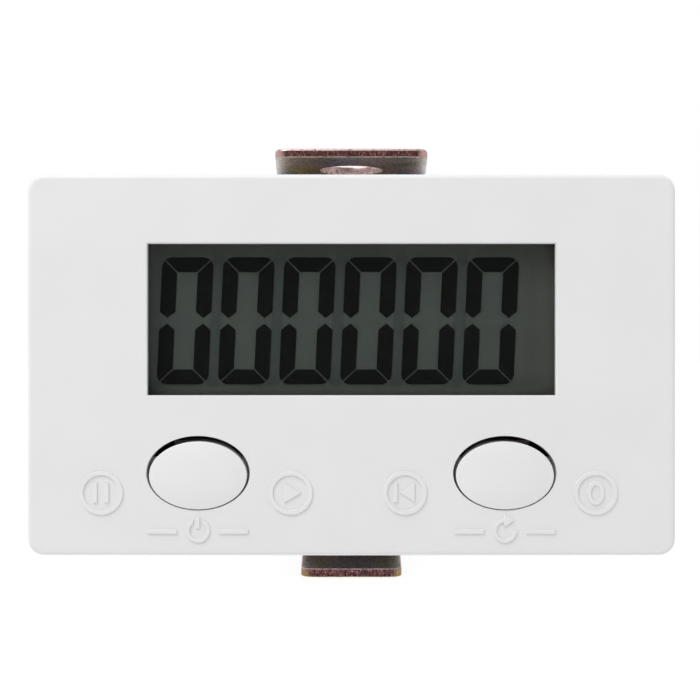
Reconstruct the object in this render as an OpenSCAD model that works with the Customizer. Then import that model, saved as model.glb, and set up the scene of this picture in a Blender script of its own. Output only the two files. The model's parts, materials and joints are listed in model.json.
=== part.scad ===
// Panel-mount digital pulse counter with a six-digit LCD, two push buttons and a U-shaped clamp bracket.
// Frame: +X to the right seen from the front, +Y to the rear, +Z up.
// The origin is the centre of the bezel's rear face, the plane that seats on the panel.
// Millimetres.

/* [Bezel] */
// Width of the bezel
bezel_w = 62; // [62:0.5:68]
// Height of the bezel
bezel_h = 36.5; // [36.4:0.1:38]
// Thickness of the bezel in front of the panel
bezel_t = 2.5; // [2.4:0.1:3]
// Radius of the bezel's corners
bezel_corner_r = 1.6; // [1.2:0.1:3]
// Radius of the bezel's front edge
bezel_edge_r = 0.5; // [0.3:0.1:0.8]

/* [Housing] */
// Depth of the case behind the panel, without the rear cover
case_depth = 20.2; // [20.2:0.1:21]
// Thickness of the rear cover
cover_t = 1.6; // [1.6:0.1:2]

/* [Display] */
// Height of the window's centre over the bezel's centre
window_z = 4.35; // [4.3:0.05:4.7]
// Width of the window
window_w = 39; // [38:0.5:40]
// Height of the window
window_h = 14.5; // [14.4:0.1:14.8]
// Number of digits
digit_count = 6; // [4:1:6]
// Distance between two digits
digit_pitch = 5.92; // [5.6:0.02:6]

/* [Buttons] */
// Distance of each button from the centre line
button_x = 14.65; // [13:0.05:16]
// Half width of the button holes
hole_a = 4.94; // [4.9:0.02:5.2]
// Half height of the button holes
hole_b = 3.55; // [3.5:0.05:3.7]
// Distance the caps hang low in their holes
cap_sag = 0.22; // [0:0.01:0.22]

/* [Clamp bracket] */
// Width of the upper arm at its end
upper_arm_w = 15.6; // [14:0.1:16]
// Width of the upper arm at the bend
upper_root_w = 17.4; // [16:0.2:18]
// Width of the lower arm at its end
lower_arm_w = 10.3; // [9:0.1:11]
// Width of the lower arm at the bend
lower_root_w = 11.4; // [11:0.1:12]
// Thickness of the steel strip
strip_t = 0.9; // [0.8:0.1:1.2]
// Distance from the panel seat to the arms' ends, which is the thickness of the clamped panel
panel_gap = 5; // [4.5:0.1:6]
// Radius of the fixing hole in the upper arm
fixing_hole_r = 3.4; // [2.5:0.1:3.5]
// Distance from the upper arm's end to the middle of that hole
fixing_hole_inset = 9.2; // [8:0.1:10]

/* [Hidden] */
$fn = 48;
eps = 0.05;                    // overshoot of a cut past a face

// case
wall = 1.6;
front_wall = 1.8;
body_w = 58.4;
body_h = 32.6;
body_r = 1.2;
inner_w = body_w - 2 * wall;
inner_h = body_h - 2 * wall;
front_y = -bezel_t;            // front face of the bezel
inside_y = front_y + front_wall;
cover_y = case_depth;          // inner face of the rear cover
back_y = cover_y + cover_t;    // outer face of the rear cover
boss_x = 25.3;
boss_z = 12.4;
post_x = 24.9;
post_z = -12;
pilot_r = 1;
screw_r = 0.95;

// display stack, front to back
lcd_w = 43;
lcd_h = 19;
lcd_z = window_z;
cell_h = 16.2;                 // height of the rear glass, which leaves a contact ledge above and below
glass_t = 0.9;
polarizer_t = 0.2;
lip_t = 0.6;                   // thickness of the window's lip
polarizer_y = front_y + lip_t + eps;
glass_y = polarizer_y + polarizer_t;
cell_y = glass_y + glass_t;
cell_gap = 0.1;
rear_glass_y = cell_y + cell_gap;
reflector_y = rear_glass_y + glass_t;
reflector_t = 0.25;
segment_t = 0.06;

// digits
digit_half_w = 2.49;
digit_half_h = 6.15;
bar_w = 1.49;                  // vertical bars
bar_h = 1.43;                  // horizontal bars
digit_corner_r = 1;
slant = 0.0467;                // sideways lean per unit of height
first_digit_x = -16.11;
digit_z = 4.26;

// circuit board
board_y = 5.2;
board_t = 1;
board_back = board_y + board_t;
board_w = 54.6;
board_h = 28.8;

// buttons and switches
button_z = -10.33;
cap_a = hole_a - 0.27;
cap_b = hole_b - 0.31;
cap_rim = 0.1;                 // height of the cap's rim over the bezel
dome_h = 0.42;
cap_back = 0.25;
plunger_tip = 0.9;
switch_half = 3;
switch_top = 2;
switch_cover_t = 0.3;
plunger_r = 1.7;

// battery bay
cell_r = 5.15;
cell_z = -8.3;
bay_half = 24;
bay_wall = 0.9;
bay_low = cell_z - 5.45;
bay_high = cell_z + 5.45;
bay_side = 0.8;
bay_floor = 8.6;
bay_inside = bay_floor + 0.8;
cell_y_axis = bay_inside + 0.05 + cell_r;
cell_left = -21;
cell_right = 22.7;
nub_right = 23.5;
contact_t = 0.4;
door_y = cover_y + 0.2;
door_back = back_y - 0.05;

// rear terminals
terminal_x = [12.2, 19.2];
terminal_z = 8.5;
insert_r = 2.5;
insert_y = 17.5;
terminal_r = 1.5;
terminal_washer_t = 0.7;

// clamp
stud_r = 1.95;
stud_z = 2.2;
stud_start = 15;
stud_end = 38;
bracket_z = 0.12;
arm_inside = 20.9;             // half the distance between the arms' inner faces
base_y = 27;                   // inner face of the bracket's base
bend_r = 1.5;
washer_t = 0.8;
lock_washer_t = 1;
nut_y = base_y + strip_t + washer_t + lock_washer_t;

// ---------- outlines ----------
function arc(x, y, r, from, to, steps) =
    [for (i = [0:steps]) let (a = from + (to - from) * i / steps) [x + r * cos(a), y + r * sin(a)]];

function rounded(w, h, r, steps = 6) = concat(
    arc(w / 2 - r, h / 2 - r, r, 0, 90, steps),
    arc(-w / 2 + r, h / 2 - r, r, 90, 180, steps),
    arc(-w / 2 + r, -h / 2 + r, r, 180, 270, steps),
    arc(w / 2 - r, -h / 2 + r, r, 270, 360, steps));

function ellipse(a, b, steps = 64) = [for (i = [0:steps - 1]) let (t = 360 * i / steps) [a * cos(t), b * sin(t)]];

// ---------- solids from outlines ----------
// A front-view outline, extruded along Y from y0 to y1
module along_y(y0, y1) {
    translate([0, y1, 0]) rotate([90, 0, 0]) linear_extrude(y1 - y0) children();
}

// A side-view outline (y, z), extruded along X from x0 to x1
module along_x(x0, x1) {
    translate([x0, 0, 0]) rotate([90, 0, 90]) linear_extrude(x1 - x0) children();
}

module box(low, high) {
    translate(low) cube(high - low);
}

module rod_y(x, z, y0, y1, r) {
    translate([x, y0, z]) rotate([-90, 0, 0]) cylinder(r = r, h = y1 - y0);
}

module rod_x(y, z, x0, x1, r) {
    translate([x0, y, z]) rotate([0, 90, 0]) cylinder(r = r, h = x1 - x0);
}

module both_sides() {
    children();
    mirror([1, 0, 0]) children();
}

// A cross recess for a screwdriver, cut from y0 towards the front
module cross_recess(x, z, y0, depth, size) {
    for (turn = [0, 90])
        translate([x, y0, z]) rotate([0, turn + 45, 0])
            translate([-size / 2, -depth, -size / 10]) cube([size, depth + eps, size / 5]);
}

// A closed tube swept along points, each ring square to the path
function unit(v) = v / norm(v);
module swept_tube(path, r, sides = 8) {
    count = len(path);
    points = [for (i = [0:count - 1])
        let (ahead = unit(path[min(i + 1, count - 1)] - path[max(i - 1, 0)]),
             side = unit(cross(ahead, [1, 0, 0])),
             up = cross(side, ahead))
        for (k = [0:sides - 1]) path[i] + r * (cos(360 * k / sides) * side + sin(360 * k / sides) * up)];
    walls = [for (i = [0:count - 2]) for (k = [0:sides - 1])
        let (next = (k + 1) % sides)
        [i * sides + k, i * sides + next, (i + 1) * sides + next, (i + 1) * sides + k]];
    first_cap = [for (k = [sides - 1:-1:0]) k];
    last_cap = [for (k = [0:sides - 1]) (count - 1) * sides + k];
    polyhedron(points, concat(walls, [first_cap], [last_cap]));
}

// ---------- case ----------
// The bezel's plate: a flat slab, and in front of it rings that shrink over the edge's radius
module bezel_plate() {
    edge_steps = 5;
    flat_y = front_y + bezel_edge_r;
    rings = [for (k = [0:edge_steps]) let (a = 90 * k / edge_steps)
        [for (p = rounded(bezel_w - 2 * bezel_edge_r * (1 - cos(a)), bezel_h - 2 * bezel_edge_r * (1 - cos(a)),
            bezel_corner_r - bezel_edge_r * (1 - cos(a)))) [p[0], flat_y - bezel_edge_r * sin(a), p[1]]]];
    n = len(rings[0]);
    walls = [for (k = [0:edge_steps - 1]) for (i = [0:n - 1])
        let (j = (i + 1) % n)
        [k * n + i, (k + 1) * n + i, (k + 1) * n + j, k * n + j]];
    rear = [for (i = [0:n - 1]) i];
    front = [for (i = [n - 1:-1:0]) edge_steps * n + i];
    along_y(flat_y, 0) polygon(rounded(bezel_w, bezel_h, bezel_corner_r));
    polyhedron([for (ring = rings) for (p = ring) p], concat(walls, [rear], [front]));
}

// Raised generic symbols beside and under the buttons
icon_r = 2.1;
icon_line = 0.42;
icon_height = 0.14;

module icon_ring() {
    difference() {
        circle(icon_r);
        circle(icon_r - icon_line);
    }
}

module icon_pause() {
    icon_ring();
    for (x = [-0.55, 0.55]) translate([x, 0]) square([icon_line, 1.9], center = true);
}

module icon_run() {
    icon_ring();
    polygon([[-0.6, -0.95], [1, 0], [-0.6, 0.95]]);
}

module icon_return() {
    icon_ring();
    polygon([[0.95, -0.9], [-0.45, 0], [0.95, 0.9]]);
    translate([-0.9, 0]) square([icon_line, 1.8], center = true);
}

module icon_zero() {
    icon_ring();
    difference() {
        polygon(ellipse(0.85, 1.15, 32));
        polygon(ellipse(0.85 - icon_line, 1.15 - icon_line, 32));
    }
}

// A standby mark: an open ring with a bar
module icon_standby() {
    difference() {
        circle(1.15);
        circle(1.15 - 0.36);
        translate([-0.45, 0]) square([0.9, 2]);
    }
    translate([0, 0.75]) square([0.36, 1.1], center = true);
}

// A circular arrow
module icon_renew() {
    difference() {
        circle(1.15);
        circle(1.15 - 0.36);
        square([2, 2]);
    }
    polygon([[-0.1, 1.65], [0.85, 0.97], [-0.1, 0.3]]);
}

module icon_dashes() {
    for (x = [-3.4, 3.4]) translate([x, 0]) square([2.8, icon_line], center = true);
}

module bezel_icons() {
    along_y(front_y - icon_height, front_y + eps) {
        translate([-23.9, -12.2]) icon_pause();
        translate([-5.8, -12.2]) icon_run();
        translate([5.1, -12.2]) icon_return();
        translate([23.3, -12.2]) icon_zero();
        translate([-button_x, -15.8]) icon_standby();
        translate([button_x, -15.8]) icon_renew();
        for (x = [-button_x, button_x]) translate([x, -15.9]) icon_dashes();
    }
}

module case_tub() {
    difference() {
        union() {
            bezel_plate();
            along_y(front_y + 1, case_depth) polygon(rounded(body_w, body_h, body_r));
        }
        along_y(inside_y, case_depth + eps) polygon(rounded(inner_w, inner_h, body_r / 2));
        box([-lcd_w / 2 - 0.3, front_y + lip_t, lcd_z - lcd_h / 2 - 0.3],
            [lcd_w / 2 + 0.3, inside_y + eps, lcd_z + lcd_h / 2 + 0.3]);
    }
}

module front_case() {
    color("whitesmoke") difference() {
        union() {
            case_tub();
            both_sides() {
                rod_y(boss_x, boss_z, inside_y - eps, board_y, 2.5);
                rod_y(boss_x, boss_z, inside_y - eps, case_depth - 0.1, 1.9);
                rod_y(post_x, post_z, inside_y - eps, board_y, 2.3);
            }
            bezel_icons();
        }
        box([-window_w / 2, front_y - eps, window_z - window_h / 2],
            [window_w / 2, front_y + lip_t + eps, window_z + window_h / 2]);
        for (x = [-button_x, button_x])
            along_y(front_y - eps, inside_y + eps) translate([x, button_z]) polygon(ellipse(hole_a, hole_b));
        both_sides() {
            rod_y(boss_x, boss_z, 11, case_depth, pilot_r);
            rod_y(post_x, post_z, 0.4, board_y + eps, pilot_r);
            // pockets in the lower wall for the rear cover's hooks
            box([14.9, 17.4, -body_h / 2 + 0.4], [21.1, 19, -inner_h / 2 + eps]);
        }
    }
}

module rear_cover() {
    hook_low = -body_h / 2 + 0.6;
    color("whitesmoke") difference() {
        union() {
            along_y(cover_y, back_y) polygon(rounded(body_w, body_h, body_r));
            // battery bay, and the floor under the door's outer end
            box([-bay_half - bay_wall, bay_floor, bay_low - bay_side], [bay_half + bay_wall, cover_y + eps, bay_high + bay_side]);
            box([bay_half, cover_y - 1.2, bay_low - bay_side], [inner_w / 2 - 0.4, cover_y + eps, bay_high + bay_side]);
            // lips that locate the cover in the case
            box([-20, 18.4, inner_h / 2 - 1.1], [20, cover_y + eps, inner_h / 2 - 0.15]);
            both_sides() {
                box([15, 17.6, hook_low], [21, 18.8, bay_low]);
                box([inner_w / 2 - 1.1, 18.4, 0], [inner_w / 2 - 0.15, cover_y + eps, 8]);
            }
            rod_y(0, stud_z, 14.2, cover_y + eps, 5);
            for (x = terminal_x) rod_y(x, terminal_z, insert_y, cover_y + eps, 3.3);
            terminal_barriers();
        }
        box([-bay_half, bay_inside, bay_low], [bay_half, back_y + eps, bay_high]);
        // the door's opening and its two grooves, open at the right-hand side
        box([-bay_half, cover_y - eps, bay_low], [body_w / 2 + 1, back_y + eps, bay_high]);
        box([-bay_half, cover_y - eps, bay_low - bay_side], [body_w / 2 + 1, cover_y + 0.95, bay_high + bay_side]);
        both_sides() {
            rod_y(boss_x, boss_z, cover_y - eps, back_y + eps, 1.15);
            rod_y(boss_x, boss_z, back_y - 1.05, back_y + eps, 2.05);
            // slots for the battery contacts' tails
            box([23.4, bay_floor - eps, cell_z - 1.1], [bay_half, bay_inside + eps, cell_z + 1.1]);
        }
        stud_head();
        rod_y(0, stud_z, stud_start, back_y + eps, stud_r);
        for (x = terminal_x) rod_y(x, terminal_z, insert_y - eps, back_y + eps, insert_r);
    }
}

module terminal_barriers() {
    for (x = [terminal_x[0] - 3.8, (terminal_x[0] + terminal_x[1]) / 2 - 0.4, terminal_x[1] + 3])
        box([x, back_y - eps, terminal_z - 4], [x + 0.8, back_y + 2.8, terminal_z + 4]);
}

module battery_door() {
    color("whitesmoke") difference() {
        union() {
            box([-bay_half + 0.2, door_y, bay_low + 0.15], [body_w / 2 - 0.05, door_back, bay_high - 0.15]);
            box([-bay_half + 0.2, door_y, bay_low - 0.65], [body_w / 2 - 0.6, door_y + 0.6, bay_high + 0.65]);
        }
        for (k = [0:4])
            box([14 + 2 * k, door_back - 0.45, cell_z - 3.5], [14.9 + 2 * k, door_back + eps, cell_z + 3.5]);
    }
}

module cover_screws() {
    color("silver") both_sides() difference() {
        union() {
            rod_y(boss_x, boss_z, back_y - 1.05, back_y - 0.05, 1.9);
            rod_y(boss_x, boss_z, 11.5, back_y - 1, screw_r);
        }
        cross_recess(boss_x, boss_z, back_y - 0.05, 0.6, 2.2);
    }
}

// ---------- buttons ----------
// An elliptical cap with a domed face, a hollow back, a stem for the switch and two retaining ears
module button_cap(x) {
    dome_steps = 6;
    rim_y = front_y - cap_rim;
    translate([x, 0, button_z - cap_sag]) difference() {
        union() {
            hull() {
                along_y(rim_y, cap_back) polygon(ellipse(cap_a, cap_b));
                for (k = [1:dome_steps]) let (shrink = 1 - (k - 0.5) / dome_steps)
                    along_y(rim_y - dome_h * (1 - shrink * shrink), rim_y) polygon(ellipse(cap_a * shrink, cap_b * shrink));
            }
            for (side = [-1, 1])
                box([side * 5 - 0.9, inside_y + 0.15, -1.6], [side * 5 + 0.9, cap_back, 1.6]);
        }
        difference() {
            along_y(front_y + 0.9, cap_back + eps) polygon(ellipse(cap_a - 0.9, cap_b - 0.9));
            rod_y(0, 0, front_y, cap_back + 1, 1.3);
        }
    }
    rod_y(x, button_z - cap_sag, cap_back - eps, plunger_tip, 1.3);
}

module power_button() color("white") button_cap(-button_x);

module reset_button() color("white") button_cap(button_x);

module switch_base(x) {
    difference() {
        box([x - switch_half, switch_top, button_z - switch_half], [x + switch_half, board_y, button_z + switch_half]);
        rod_y(x, button_z, switch_top - eps, 4.6, 2.4);
    }
}

module switch_bases() {
    color("dimgray") for (x = [-button_x, button_x]) switch_base(x);
}

module switch_covers() {
    cover_half = switch_half - 0.1;
    color("silver") for (x = [-button_x, button_x]) difference() {
        box([x - cover_half, switch_top - switch_cover_t, button_z - cover_half],
            [x + cover_half, switch_top, button_z + cover_half]);
        rod_y(x, button_z, switch_top - 1, switch_top + eps, plunger_r + 0.15);
    }
}

module switch_snap_domes() {
    color("silver") for (x = [-button_x, button_x])
        translate([x, 4.6, button_z]) rotate([90, 0, 0])
            rotate_extrude() polygon([[0, 1.05], [1.2, 0.88], [2.3, 0], [2.3, 0.14], [1.25, 1.02], [0, 1.2]]);
}

module switch_pins() {
    color("silver") for (x = [-button_x, button_x]) for (dx = [-3.2, 3.2]) for (dz = [-2.25, 2.25])
        box([x + dx - 0.15, 4.2, button_z + dz - 0.35], [x + dx + 0.15, board_back + 0.8, button_z + dz + 0.35]);
}

module switch_plunger(x) {
    rod_y(x, button_z, plunger_tip, 2.9, plunger_r);
    rod_y(x, button_z, switch_top + 0.15, 2.9, 2.2);
}

module power_switch_plunger() color("black") switch_plunger(-button_x);

module reset_switch_plunger() color("black") switch_plunger(button_x);

// ---------- display ----------
module lcd_slab(y0, t, w, h) {
    box([-w / 2, y0, lcd_z - h / 2], [w / 2, y0 + t, lcd_z + h / 2]);
}

module lcd_front_polarizer() color("dimgray") lcd_slab(polarizer_y, polarizer_t, 41, 16.4);

module lcd_front_glass() color("lightsteelblue") lcd_slab(glass_y, glass_t, lcd_w, lcd_h);

module lcd_rear_glass() color("lightsteelblue") lcd_slab(rear_glass_y, glass_t, lcd_w, cell_h);

module lcd_reflector() color("darkslategray") lcd_slab(reflector_y, reflector_t, 41.5, 15.6);

module lcd_edge_seal() {
    color("gray") difference() {
        lcd_slab(cell_y, cell_gap, lcd_w, cell_h);
        lcd_slab(cell_y - 1, 2, 41, 15);
    }
}

// One bar across the top of a digit, and one upright, both in the digit's upper right quarter's terms
tip_gap = 0.27;                // from the waist to the point of an upright
tip_h = 0.61;
bar_gap = 0.1;
gap_angle = 4;
function top_bar() = concat(
    [[-(digit_half_w - bar_w) + bar_gap, digit_half_h - bar_h], [digit_half_w - bar_w - bar_gap, digit_half_h - bar_h]],
    arc(digit_half_w - digit_corner_r, digit_half_h - digit_corner_r, digit_corner_r, 45 + gap_angle, 90, 3),
    arc(-digit_half_w + digit_corner_r, digit_half_h - digit_corner_r, digit_corner_r, 90, 135 - gap_angle, 3));
function upright() = concat(
    [[digit_half_w - bar_w, digit_half_h - bar_h - bar_gap], [digit_half_w - bar_w, tip_gap + tip_h],
     [digit_half_w - bar_w / 2, tip_gap], [digit_half_w, tip_gap + tip_h]],
    arc(digit_half_w - digit_corner_r, digit_half_h - digit_corner_r, digit_corner_r, 0, 45 - gap_angle, 3));
// Mirrors an outline by the signs of sx and sz, leans it, and moves it to its digit
function placed(outline, sx, sz, x) = [for (p = outline) [x + sx * p[0] + slant * sz * p[1], digit_z + sz * p[1]]];

module lcd_segments() {
    color("black") for (digit = [0:digit_count - 1]) let (x = first_digit_x + digit * digit_pitch)
        along_y(cell_y + 0.02, cell_y + 0.02 + segment_t) {
            for (sz = [-1, 1]) polygon(placed(top_bar(), 1, sz, x));
            for (sz = [-1, 1]) for (sx = [-1, 1]) polygon(placed(upright(), sx, sz, x));
        }
}

module lcd_holder() {
    low = lcd_z - cell_h / 2;
    high = lcd_z + cell_h / 2;
    y0 = reflector_y + reflector_t + eps;
    y1 = board_y - eps;
    color("white") difference() {
        union() {
            box([-22.3, y0, low], [22.3, y1, high]);
            both_sides() {
                box([lcd_w / 2 + 0.1, cell_y + eps, low], [22.3, y1, high]);
                box([20.2, cell_y + 0.15, lcd_z - lcd_h / 2 + 0.1], [22.3, y1, low - 0.02]);
                box([20.2, cell_y + 0.15, high + 0.02], [22.3, y1, lcd_z + lcd_h / 2 - 0.1]);
                box([21.6, y0, low - 1], [22.3, y1, high + 1]);
            }
        }
        box([-19.5, y0 - eps, low + 2], [19.5, y1 + eps, high - 2]);
    }
}

module zebra_strips() {
    color("hotpink") for (z = [lcd_z - cell_h / 2 - 1.35, lcd_z + cell_h / 2 + 0.15])
        box([-20, cell_y, z], [20, board_y, z + 1.2]);
}

// ---------- circuit board ----------
module circuit_board() {
    color("seagreen") difference() {
        box([-board_w / 2, board_y, -board_h / 2], [board_w / 2, board_back, board_h / 2]);
        both_sides() {
            rod_y(boss_x, boss_z, board_y - eps, board_back + eps, 2.05);
            box([boss_x, board_y - eps, boss_z], [board_w / 2 + eps, board_back + eps, board_h / 2 + eps]);
            rod_y(post_x, post_z, board_y - eps, board_back + eps, 1.15);
            box([23.3, board_y - eps, cell_z - 1.1], [24.1, board_back + eps, cell_z + 1.1]);
        }
        for (x = terminal_x) rod_y(x, terminal_z, board_y - eps, board_back + eps, 0.6);
        for (x = [-button_x, button_x]) for (dx = [-3.2, 3.2]) for (dz = [-2.25, 2.25])
            rod_y(x + dx, button_z + dz, board_y - eps, board_back + eps, 0.5);
    }
}

module board_screws() {
    color("silver") both_sides() difference() {
        union() {
            rod_y(post_x, post_z, board_back, board_back + 1.2, 1.8);
            rod_y(post_x, post_z, 0.8, board_back + eps, screw_r);
        }
        cross_recess(post_x, post_z, board_back + 1.2, 0.6, 2);
    }
}

module controller_blob() {
    blob_r = 5.2;
    blob_h = 1.5;
    ball_r = (blob_r * blob_r + blob_h * blob_h) / (2 * blob_h);
    edge = asin((ball_r - blob_h) / ball_r);
    color("black") translate([-9, board_back, 6]) rotate([-90, 0, 0])
        rotate_extrude() polygon(concat([[0, 0]], arc(0, blob_h - ball_r, ball_r, edge, 90, 8)));
}

module quartz_crystal() {
    can_y = board_back + 1.05;
    color("silver") {
        translate([-1.2, can_y, 11]) rotate([0, 90, 0]) cylinder(r = 1, h = 6);
        for (dz = [-0.35, 0.35]) translate([-2.4, can_y, 11 + dz]) rotate([0, 90, 0]) cylinder(r = 0.15, h = 1.25);
    }
}

module chip(x, z, length, width, height) {
    box([x - length / 2, board_back, z - width / 2], [x + length / 2, board_back + height, z + width / 2]);
}

module chip_capacitors() {
    color("tan") for (place = [[-18, 10], [-18, 6.5], [-18, 3], [4.5, 6.4]]) chip(place[0], place[1], 2, 1.25, 0.9);
}

module chip_resistors() {
    color("black") for (place = [[-22, 10], [-22, 6.5], [-22, 3], [8, 12], [16, 4]]) chip(place[0], place[1], 2, 1.25, 0.5);
}

// ---------- battery ----------
module battery_cell() {
    color("silver") {
        rod_x(cell_y_axis, cell_z, cell_left, cell_right, cell_r - 0.1);
        rod_x(cell_y_axis, cell_z, cell_right - eps, nub_right, 1.9);
    }
}

module battery_sleeve() {
    color("goldenrod") difference() {
        rod_x(cell_y_axis, cell_z, cell_left + 0.3, cell_right - 0.3, cell_r);
        rod_x(cell_y_axis, cell_z, cell_left, cell_right, cell_r - 0.1);
    }
}

// A conical coil between the negative contact and the cell
module battery_spring() {
    turns = 3;
    steps = 14;
    wire_r = 0.25;
    start_x = cell_left - 2.5 + wire_r;
    travel = 2.5 - 2 * wire_r;
    path = [for (i = [0:turns * steps])
        let (share = i / (turns * steps), a = 360 * i / steps, r = 3.8 - 1.8 * share)
        [start_x + travel * share, cell_y_axis + r * cos(a), cell_z + r * sin(a)]];
    color("silver") swept_tube(path, wire_r);
}

module battery_contacts() {
    color("silver") both_sides() {
        box([nub_right, bay_inside + 1, cell_z - 4], [nub_right + contact_t, cover_y - 1.4, cell_z + 4]);
        box([nub_right, board_y - 0.4, cell_z - 1], [nub_right + contact_t, bay_inside + 1 + eps, cell_z + 1]);
    }
}

// ---------- rear terminals ----------
module terminal_inserts() {
    color("gold") for (x = terminal_x) difference() {
        rod_y(x, terminal_z, insert_y, back_y, insert_r);
        rod_y(x, terminal_z, insert_y + 0.8, back_y + eps, terminal_r + 0.05);
    }
}

module terminal_leads() {
    color("silver") for (x = terminal_x) rod_y(x, terminal_z, board_y + 0.1, insert_y, 0.5);
}

module terminal_washer(x) {
    half = 2.7;
    color("silver") difference() {
        box([x - half, back_y, terminal_z - half], [x + half, back_y + terminal_washer_t, terminal_z + half]);
        rod_y(x, terminal_z, back_y - eps, back_y + 1, terminal_r + 0.05);
    }
}

module terminal_washer_left() terminal_washer(terminal_x[0]);

module terminal_washer_right() terminal_washer(terminal_x[1]);

module terminal_screw(x) {
    head_y = back_y + terminal_washer_t;
    head_h = 1.9;
    color("silver") difference() {
        union() {
            rod_y(x, terminal_z, head_y, head_y + head_h, 2.65);
            rod_y(x, terminal_z, insert_y + 1.2, head_y + eps, terminal_r);
        }
        cross_recess(x, terminal_z, head_y + head_h, 1, 3.2);
    }
}

module terminal_screw_left() terminal_screw(terminal_x[0]);

module terminal_screw_right() terminal_screw(terminal_x[1]);

// ---------- clamp ----------
// Side view of the strip: a U that is open towards the panel
function strip_side() = let (outside = arm_inside + strip_t, outer_r = bend_r + strip_t, outer_y = base_y + strip_t)
    concat(
        [[panel_gap, -outside]],
        arc(outer_y - outer_r, -outside + outer_r, outer_r, 270, 360, 8),
        arc(outer_y - outer_r, outside - outer_r, outer_r, 0, 90, 8),
        [[panel_gap, outside], [panel_gap, arm_inside]],
        arc(base_y - bend_r, arm_inside - bend_r, bend_r, 90, 0, 8),
        arc(base_y - bend_r, -arm_inside + bend_r, bend_r, 360, 270, 8),
        [[panel_gap, -arm_inside]]);

module mounting_bracket() {
    wide = upper_root_w / 2;
    waist = upper_arm_w / 2;
    narrow = lower_root_w / 2;
    tall = arm_inside + strip_t + 1;
    corner = 1.3;
    color("darkkhaki") translate([0, 0, bracket_z]) difference() {
        intersection() {
            along_x(-wide, wide) polygon(strip_side());
            // rear view of the blank: it clears the terminals, then tapers to the lower arm
            along_y(0, base_y + 2)
                polygon([[-wide, tall], [-wide, 19], [-waist, 15], [-waist, -8], [-narrow, -15], [-narrow, -tall],
                         [narrow, -tall], [narrow, -15], [waist, -8], [waist, 15], [wide, 19], [wide, tall]]);
            union() {
                arm_plan(upper_arm_w / 2, wide, corner, -16, tall);
                arm_plan(lower_arm_w / 2, narrow, corner, -tall, -15.5);
            }
        }
        arm_corner(upper_arm_w / 2, arm_inside - 1, tall, corner);
        arm_corner(lower_arm_w / 2, -tall, 1 - arm_inside, corner);
        translate([0, panel_gap + fixing_hole_inset, arm_inside - 1])
            cylinder(r = fixing_hole_r, h = strip_t + 2);
        rod_y(0, stud_z - bracket_z, base_y - 1, base_y + 2, stud_r + 0.3);
    }
}

// The outline of an arm from above: a straight end, then sides that spread to the bend
module arm_plan(end, root, corner, low, high) {
    translate([0, 0, low]) linear_extrude(high - low)
        polygon([[-end, panel_gap], [end, panel_gap], [end, panel_gap + corner], [root, base_y - bend_r],
                 [root, base_y + 2], [-root, base_y + 2], [-root, base_y - bend_r], [-end, panel_gap + corner]]);
}

// Cuts that round both front corners of an arm of the given half width
module arm_corner(half, low, high, r) {
    both_sides() translate([half - r, panel_gap + r, low]) difference() {
        translate([0, -r - 1, 0]) cube([r + 1, r + 1, high - low]);
        translate([0, 0, -1]) cylinder(r = r, h = high - low + 2);
    }
}

module stud_head() {
    translate([0, stud_start, stud_z]) rotate([-90, 0, 0]) cylinder(r = 4.04, h = 1.8, $fn = 6);
}

module clamp_stud() {
    color("silver") {
        stud_head();
        rod_y(0, stud_z, stud_start, stud_end, stud_r);
    }
}

module washer(y0, t, r, hole) {
    difference() {
        rod_y(0, stud_z, y0, y0 + t, r);
        rod_y(0, stud_z, y0 - eps, y0 + t + eps, hole);
    }
}

module flat_washer() color("silver") washer(base_y + strip_t, washer_t, 4.5, stud_r + 0.25);

module lock_washer() {
    color("silver") difference() {
        washer(base_y + strip_t + washer_t, lock_washer_t, 3.6, stud_r + 0.2);
        translate([0, base_y + strip_t + washer_t - eps, stud_z]) rotate([0, 12, 0])
            translate([1, 0, -0.25]) cube([4, lock_washer_t + 2 * eps, 0.5]);
    }
}

// A knurled thumb nut: a hub against the washer and a wide grooved rim
module thumb_nut() {
    rim_r = 6;
    grooves = 36;
    color("silver") difference() {
        union() {
            rod_y(0, stud_z, nut_y, nut_y + 2, 4);
            rod_y(0, stud_z, nut_y + 1.6, nut_y + 5, rim_r);
        }
        rod_y(0, stud_z, nut_y - eps, nut_y + 6, stud_r + 0.08);
        for (k = [0:grooves - 1]) let (a = 360 * k / grooves)
            translate([rim_r * cos(a), nut_y + 1.5, stud_z + rim_r * sin(a)]) rotate([0, -a, 0])
                translate([-0.22, 0, -0.22]) rotate([0, 45, 0]) cube([0.44, 4, 0.44]);
    }
}

front_case();
rear_cover();
battery_door();
cover_screws();
power_button();
reset_button();
lcd_front_polarizer();
lcd_front_glass();
lcd_segments();
lcd_edge_seal();
lcd_rear_glass();
lcd_reflector();
lcd_holder();
zebra_strips();
circuit_board();
board_screws();
controller_blob();
quartz_crystal();
chip_capacitors();
chip_resistors();
switch_bases();
switch_covers();
switch_snap_domes();
switch_pins();
power_switch_plunger();
reset_switch_plunger();
battery_cell();
battery_sleeve();
battery_spring();
battery_contacts();
terminal_inserts();
terminal_leads();
terminal_washer_left();
terminal_washer_right();
terminal_screw_left();
terminal_screw_right();
mounting_bracket();
clamp_stud();
flat_washer();
lock_washer();
thumb_nut();
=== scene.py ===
"""The looks of a panel-mount digital counter: an LCD with six digits, two oval buttons and a clamp bracket.

The model's own frame is in metres: +X to the right seen from the front, +Y to the rear, +Z up, with the
origin at the centre of the bezel's rear face. Small sizes are written in millimetres and multiplied by MM."""
import json
import math

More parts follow.
